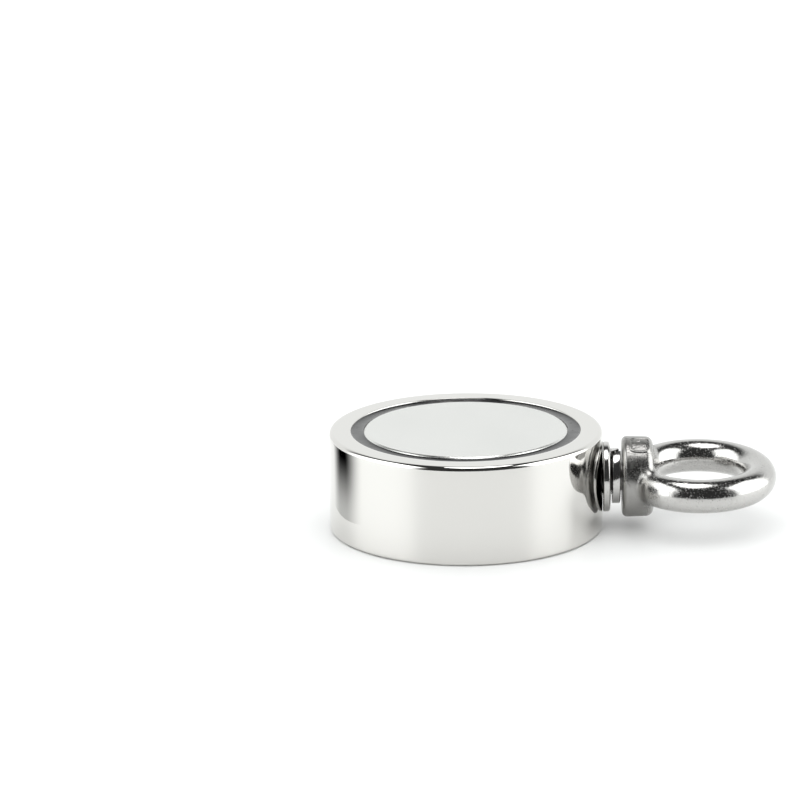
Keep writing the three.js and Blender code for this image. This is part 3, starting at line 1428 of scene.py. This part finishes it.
    def spread_angles(self, page: Array) -> Array:
        """Ray angles for each page, crowded where its section bends.

        A first even set of rays gives the section. Each stretch of it then counts by its length
        and by how much it turns, and the rays are shared out evenly over that count.

        Args:
            page: angles round the ring.

        Returns:
            An angle for each ray and page.
        """
        even = np.linspace(-math.pi, math.pi, 2 * self.rows + 1)[:, None]
        reach = self.reach(page[None, :], even)
        out, up = reach * np.cos(even), reach * np.sin(even)
        d_out, d_up = np.diff(out, axis=0), np.diff(up, axis=0)
        heading = np.unwrap(np.arctan2(d_up, d_out), axis=0)
        bend = np.abs(np.diff(heading, axis=0, append=heading[:1] + FULL))
        bend = (bend + np.roll(bend, 1, axis=0)) / 2
        length = np.hypot(d_out, d_up)
        count = length / length.sum(0) + self.bend_weight * bend / bend.sum(0)
        total = np.concatenate([np.zeros((1, len(page))), np.cumsum(count, axis=0)])
        wanted = np.arange(self.rows) / self.rows
        return np.stack(
            [np.interp(wanted * col[-1], col, even[:, 0]) for col in total.T], -1
        )

    def head(self) -> Surface:
        """Ring and collar: a grid of pages round the ring by rays round its centreline.

        Returns:
            The closed surface, in the ring's own frame.
        """
        page = self.pages()
        angle = self.spread_angles(page)
        points = self.ray_point(page[None, :], angle, self.reach(page[None, :], angle))
        quads = grid_quads(self.rows, len(page), wrap_rows=True)
        return Surface(points.reshape(-1, 3), quads)

    def shank(self) -> Surface:
        """Threaded shank: a grid of height by angle, with a chamfered tip and a plain neck.

        Returns:
            The closed surface, with the bolt along its own Z axis.
        """
        tip = self.box[0].x - self.layout.body_radius
        buried = self.collar_base + self.shank_bury
        step = self.thread.pitch / self.thread.rows_per_turn
        height = np.arange(tip, buried, step)[:, None]
        angle = (FULL * np.arange(self.shank_columns) / self.shank_columns)[None, :]
        radius = self.thread.radius(height, angle)
        fade = smoothstep(self.thread_end - self.thread_fade, self.thread_end, height)
        radius = radius + (self.thread.root - radius) * fade
        chamfer = self.thread.crest - self.tip_chamfer + self.tip_slope * (height - tip)
        walls = around_axis(np.minimum(radius, chamfer), height, angle)
        return capped(walls, self.shank_columns, tip, height[-1, 0])

    def build(self) -> bpy.types.Object:
        """Makes and dresses the eye bolt.

        Returns:
            The eye bolt.
        """
        head_place = np.eye(4)
        head_place[:3, :3] = np.array(Matrix.Rotation(self.turn, 3, "X"))
        head_place[:3, 3] = self.layout.bolt_seat
        head = self.head().placed(head_place)
        shank = self.shank().placed(Seat.BOLT.matrix(self.layout.bolt_seat))
        return fitted(head.joined(shank).piece("eye_forging"), FORGED, "eye", "eye_bolt")


# --- Washers ------------------------------------------------------------------------------------


@dataclass(frozen=True)
class WasherStack:
    """The flat washer and the split spring washer under the collar."""

    layout: Layout
    flat_bore: float = 5.3 * MM
    punch_radius: float = 0.75 * MM
    burr_radius: float = 0.3 * MM
    spring_bore: float = 5.45 * MM
    spring_outer: float = 8.1 * MM
    spring_thickness: float = 2.4 * MM
    spring_rise: float = 0.5 * MM
    spring_edge: float = 0.3 * MM
    spring_lift: float = 0.25 * MM
    split: float = math.radians(9)
    slant: float = math.radians(-14)
    split_at: float = math.radians(203)
    edge_steps: int = 4
    round_steps: int = 8
    columns: int = 200

    def flat(self) -> Surface:
        """The flat washer: punched, so rounder on one side than on the other.

        Returns:
            The closed surface, with the bolt along its own Z axis.
        """
        low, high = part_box("flat_washer")
        base, top = low.x - self.layout.body_radius, high.x - self.layout.body_radius
        outer, bore = (high.y - low.y) / 2, self.flat_bore
        punch, burr = self.punch_radius, self.burr_radius
        profile = outline(
            arc((outer - burr, base + burr), burr, -QUARTER, 0, self.edge_steps),
            arc((outer - punch, top - punch), punch, 0, QUARTER, self.round_steps),
            arc((bore + burr, top - burr), burr, QUARTER, math.pi, self.edge_steps),
            arc((bore + punch, base + punch), punch, math.pi, 3 * QUARTER, self.round_steps),
        )
        return turned_ring(profile, self.columns)

    def spring(self) -> Surface:
        """The spring washer: a rounded rectangle carried once round a shallow helix.

        A section's point at height h sits at the section's angle plus the slant times h over the
        thickness, which slants both ends, and rises by the share of the sweep that is left.

        Returns:
            The closed surface, with the bolt along its own Z axis.
        """
        edge, thick = self.spring_edge, self.spring_thickness
        inner, outer = self.spring_bore, self.spring_outer
        section = outline(
            arc((outer - edge, edge), edge, -QUARTER, 0, self.edge_steps),
            arc((outer - edge, thick - edge), edge, 0, QUARTER, self.edge_steps),
            arc((inner + edge, thick - edge), edge, QUARTER, math.pi, self.edge_steps),
            arc((inner + edge, edge), edge, math.pi, 3 * QUARTER, self.edge_steps),
        )
        sweep = FULL - self.split
        along = np.linspace(0, sweep, self.columns)[None, :]
        radius, height = section[:, 0, None], section[:, 1, None]
        angle = along + self.split_at + self.slant * height / thick
        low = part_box("spring_washer")[0].x - self.layout.body_radius
        rise = low + self.spring_rise * (1 - along / sweep)
        points = np.stack(
            [radius * np.cos(angle) - self.spring_lift, radius * np.sin(angle), height + rise], -1
        )
        quads = grid_quads(len(section), self.columns, wrap_rows=True, wrap_columns=False)
        first = (np.arange(len(section)) * self.columns).tolist()
        last = [corner + self.columns - 1 for corner in first]
        return Surface(points.reshape(-1, 3), quads, polygons=[first, last[::-1]])

    def build(self) -> list[bpy.types.Object]:
        """Makes and dresses both washers.

        Returns:
            The flat washer and the spring washer.
        """
        matrix = Seat.BOLT.matrix(self.layout.bolt_seat)
        flat = self.flat().placed(matrix).piece("washer_flat")
        spring = self.spring().placed(matrix).piece("washer_spring")
        return [
            fitted(flat, STAMPED, "washers", "flat_washer"),
            fitted(spring, STAMPED, "washers", "spring_washer"),
        ]


# --- Studio -------------------------------------------------------------------------------------


@dataclass(frozen=True)
class Viewpoint:
    """The camera: where it stands from the point that it aims at, its roll and its lens."""

    azimuth: float = math.radians(0.896)
    elevation: float = math.radians(15.674)
    distance: float = 1.354
    roll: float = math.radians(-0.63)
    lens: float = 208.9
    aim_left: float = 19.08 * MM
    aim_above_middle: float = 23.63 * MM

    def build(self, layout: Layout) -> None:
        """Makes the scene's camera, aimed at a point beside and above the middle of the body.

        Args:
            layout: the object's main sizes.
        """
        back = Vector((
            math.sin(self.azimuth) * math.cos(self.elevation),
            -math.cos(self.azimuth) * math.cos(self.elevation),
            math.sin(self.elevation),
        ))
        aim = Vector(layout.middle) + Vector((-self.aim_left, 0, self.aim_above_middle))
        level = Vector((math.cos(self.azimuth), math.sin(self.azimuth), 0))
        upright = back.cross(level)
        right = level * math.cos(self.roll) + upright * math.sin(self.roll)
        up = upright * math.cos(self.roll) - level * math.sin(self.roll)
        data = bpy.data.cameras.new("studio_camera")
        data.lens = self.lens
        camera = bpy.data.objects.new("studio_camera", data)
        turn = Matrix((right, up, back)).transposed().to_4x4()
        camera.matrix_world = Matrix.Translation(aim + back * self.distance) @ turn
        bpy.context.scene.collection.objects.link(camera)
        bpy.context.scene.camera = camera


class Wall(Enum):
    """The side of the room that a panel lies on: its direction's axis and sign, and the axis
    that runs across it."""

    LEFT = ("X", -1.0, "Y")
    RIGHT = ("X", 1.0, "Y")
    BACK = ("Y", 1.0, "X")


@dataclass(frozen=True)
class Panel:
    """A bright upright panel, as large as it looks on a wall one unit away from the object."""

    wall: Wall
    across: tuple[float, float]
    height: tuple[float, float]
    radiance: float
    side_softness: float
    top_softness: float

    def glow(self, graph: Graph, direction: Sockets) -> bpy.types.NodeSocket:
        """What the panel adds to the room's light in each direction.

        The direction's other parts are divided by its part towards the wall, which gives the
        place on the wall, and a soft-edged window there is 1 on the panel.

        Args:
            graph: the world's graph.
            direction: the direction's parts, X, Y and Z.

        Returns:
            The panel's radiance on it, and 0 off it.
        """
        nearest = 0.001
        axis, sign, sideways = self.wall.value
        towards = graph.math("MULTIPLY", direction[axis], sign)
        ahead = graph.math("MAXIMUM", towards, nearest)
        shown = graph.math("GREATER_THAN", towards, nearest)
        spans = (
            (sideways, self.across, self.side_softness), ("Z", self.height, self.top_softness)
        )
        for part, (low, high), soft in spans:
            place = graph.math("DIVIDE", direction[part], ahead)
            rise = graph.ramp(place, low - soft, low + soft)
            fall = graph.ramp(place, high - soft, high + soft, 1.0, 0.0)
            shown = graph.math("MULTIPLY", shown, graph.math("MULTIPLY", rise, fall))
        return graph.math("MULTIPLY", shown, self.radiance)


@dataclass(frozen=True)
class Studio:
    """Pale glossy table, pale backdrop, a panel on each side, a softbox above and even fill."""

    table_color: tuple[float, float, float] = (0.92, 0.92, 0.92)
    table_roughness: float = 0.47
    table_half_width: float = 3.0
    table_front: float = -1.2
    table_back: float = 5.0
    air_color: tuple[float, float, float] = (0.985, 1.0, 0.995)
    seen: float = 1.05
    fill: float = 0.62
    fill_above: float = 1.75
    unlit: float = 0.045
    panels: tuple[Panel, ...] = (
        Panel(Wall.BACK, (-5.0, 5.0), (-1.0, 0.95), 1.075, 0.05, 0.35),
        Panel(Wall.LEFT, (-1.0, 0.45), (0.0, 1.8), 3.0, 0.35, 0.05),
        Panel(Wall.RIGHT, (-0.65, 0.60), (0.0, 1.8), 3.0, 0.22, 0.05),
    )
    softbox_place: tuple[float, float, float] = (0.036, 0.02, 0.42)
    softbox_size: tuple[float, float] = (0.19, 0.27)
    softbox_radiance: float = 3.6
    # A dark card beside the body that paints a dark reflection and shadow into the body's mirror side.
    card_place: tuple[float, float] = (-0.057, -0.002)
    card_size: tuple[float, float] = (0.044, 0.024)
    card_side_fade: float = 0.42
    card_foot_fade: float = 0.8
    card_foot: float = 0.4

    def table(self) -> None:
        """Makes the table top, a plain pale plane."""
        wide = self.table_half_width
        corners = np.array([
            (-wide, self.table_front, 0), (wide, self.table_front, 0),
            (wide, self.table_back, 0), (-wide, self.table_back, 0),
        ])
        top = Surface(corners, quads=np.array([[0, 1, 2, 3]])).piece("table_top")
        material = bpy.data.materials.new("pale_table")
        material.use_nodes = True
        shader = material.node_tree.nodes["Principled BSDF"]
        shader.inputs["Base Color"].default_value = (*self.table_color, 1.0)
        shader.inputs["Roughness"].default_value = self.table_roughness
        top.data.materials.append(material)

    def room(self) -> None:
        """Makes the world: even fill on matt surfaces, and panels in a dark room on glossy ones."""
        world = bpy.data.worlds.new("studio_room")
        world.use_nodes = True
        graph = Graph(world.node_tree)
        place = graph.node("ShaderNodeTexCoord").outputs["Generated"]
        direction = graph.node("ShaderNodeSeparateXYZ", None, {"Vector": place}).outputs
        strength: Input = self.unlit
        for panel in self.panels:
            strength = graph.math("MAXIMUM", strength, panel.glow(graph, direction))
        path = graph.node("ShaderNodeLightPath").outputs
        scattered = graph.math("MINIMUM", path["Diffuse Depth"], 1.0)
        upward = graph.math("MAXIMUM", direction["Z"], 0.0)
        fill = graph.mix(upward, self.fill, self.fill_above)
        strength = graph.mix(scattered, strength, fill)
        strength = graph.mix(path["Is Camera Ray"], strength, self.seen)
        background = world.node_tree.nodes["Background"]
        background.inputs["Color"].default_value = (*self.air_color, 1.0)
        graph.feed(background.inputs["Strength"], strength)
        world.cycles.sampling_method = "NONE"
        bpy.context.scene.world = world

    def softbox(self) -> None:
        """Makes the softbox above, facing down. Its power is its radiance times pi times its area."""
        data = bpy.data.lights.new("overhead_softbox", "AREA")
        data.shape = "ELLIPSE"
        data.size, data.size_y = self.softbox_size
        area = math.pi * data.size * data.size_y / 4
        data.energy = self.softbox_radiance * math.pi * area
        light = bpy.data.objects.new("overhead_softbox", data)
        light.location = self.softbox_place
        light.visible_diffuse = False
        bpy.context.scene.collection.objects.link(light)

    def card(self) -> None:
        """Makes a dark card beside the body that shows only in reflections and fades at its edges: a
        painted dark reflection and shadow on the body's mirror side, paler at its foot.
        """
        (wide, tall), (x, y) = self.card_size, self.card_place
        corners = np.array([
            (x, y - wide / 2, 0), (x, y + wide / 2, 0),
            (x, y + wide / 2, tall), (x, y - wide / 2, tall),
        ])
        made = Surface(corners, quads=np.array([[0, 1, 2, 3]])).piece("dark_card")
        material = bpy.data.materials.new("dark_card")
        material.use_nodes = True
        graph = Graph(material.node_tree)
        graph.tree.nodes.clear()
        place = graph.node("ShaderNodeTexCoord").outputs["Generated"]
        parts = graph.node("ShaderNodeSeparateXYZ", None, {"Vector": place}).outputs
        # Painted reflection: the card fades out at its sides and pales towards its foot, as a shadow
        # fades onto the table.
        rise = graph.ramp(parts["Y"], 0.0, self.card_side_fade)
        fall = graph.ramp(parts["Y"], 1.0 - self.card_side_fade, 1.0, 1.0, 0.0)
        up = graph.ramp(parts["Z"], 0.0, self.card_foot_fade, self.card_foot)
        shade = graph.math("MULTIPLY", graph.math("MULTIPLY", rise, fall), up)
        clear = graph.node("ShaderNodeBsdfTransparent").outputs[0]
        dark = graph.node("ShaderNodeEmission", None, {"Strength": 0.0}).outputs[0]
        mixed = graph.node("ShaderNodeMixShader", None, {0: shade, 1: clear, 2: dark}).outputs[0]
        graph.node("ShaderNodeOutputMaterial", None, {"Surface": mixed})
        made.data.materials.append(material)
        made.visible_camera = False
        made.visible_diffuse = False

    def build(self) -> None:
        """Makes the table, the room, the softbox and the card."""
        self.table()
        self.room()
        self.softbox()
        self.card()
        bpy.context.scene.view_settings.view_transform = "Standard"


# --- Assembly -----------------------------------------------------------------------------------


def corners(box: tuple[Vector, Vector]) -> list[list[float]]:
    """Lists a box's two corners.

    Args:
        box: its lowest and highest corner.

    Returns:
        The corners as plain lists.
    """
    return [list(box[0]), list(box[1])]


def main() -> None:
    """Builds the object and the studio."""
    logging.basicConfig(level=logging.INFO, format="%(name)s: %(message)s")
    layout = Layout.from_frame()
    SteelBody(layout).build()
    PoleFace(layout, "upper", Seat.UPPER_FACE).build()
    PoleFace(layout, "lower", Seat.LOWER_FACE).build()
    WasherStack(layout).build()
    ForgedEye(layout).build()
    Studio().build()
    Viewpoint().build(layout)


if __name__ == "__main__":
    main()
